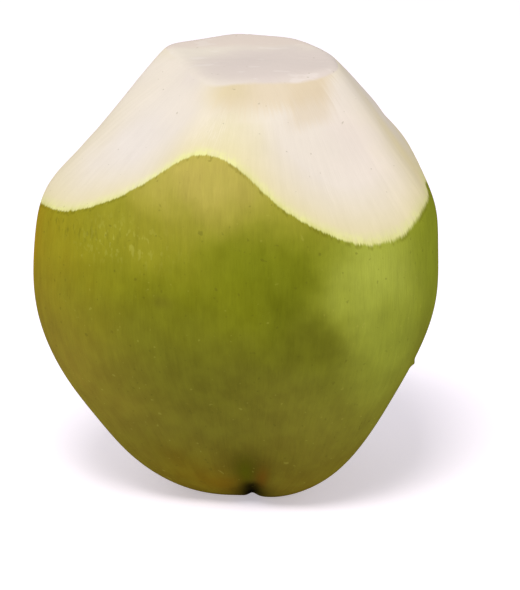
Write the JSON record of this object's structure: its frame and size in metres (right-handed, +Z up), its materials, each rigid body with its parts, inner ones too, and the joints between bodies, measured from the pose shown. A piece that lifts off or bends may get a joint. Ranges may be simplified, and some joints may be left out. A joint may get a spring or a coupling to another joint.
{
  "type": "young green coconut with trimmed top",
  "caption": "Young green coconut standing on its blossom end, its top pared to a pale blunt cone of flat knife cuts with a level crown",
  "frame": {"origin": "on the ground, under the middle of the fruit's bounding box", "axes": "+Z up from the blossom end it stands on to the trimmed crown, -Y to the front, where the green skin runs highest and the cleft shows, +X to the right seen from the front"},
  "size_m": [0.1632, 0.1644, 0.1822],
  "materials": {
    "husk": "satin"
  },
  "bodies": {
    "root": {"green_coconut": "husk"}
  },
  "joints": []
}
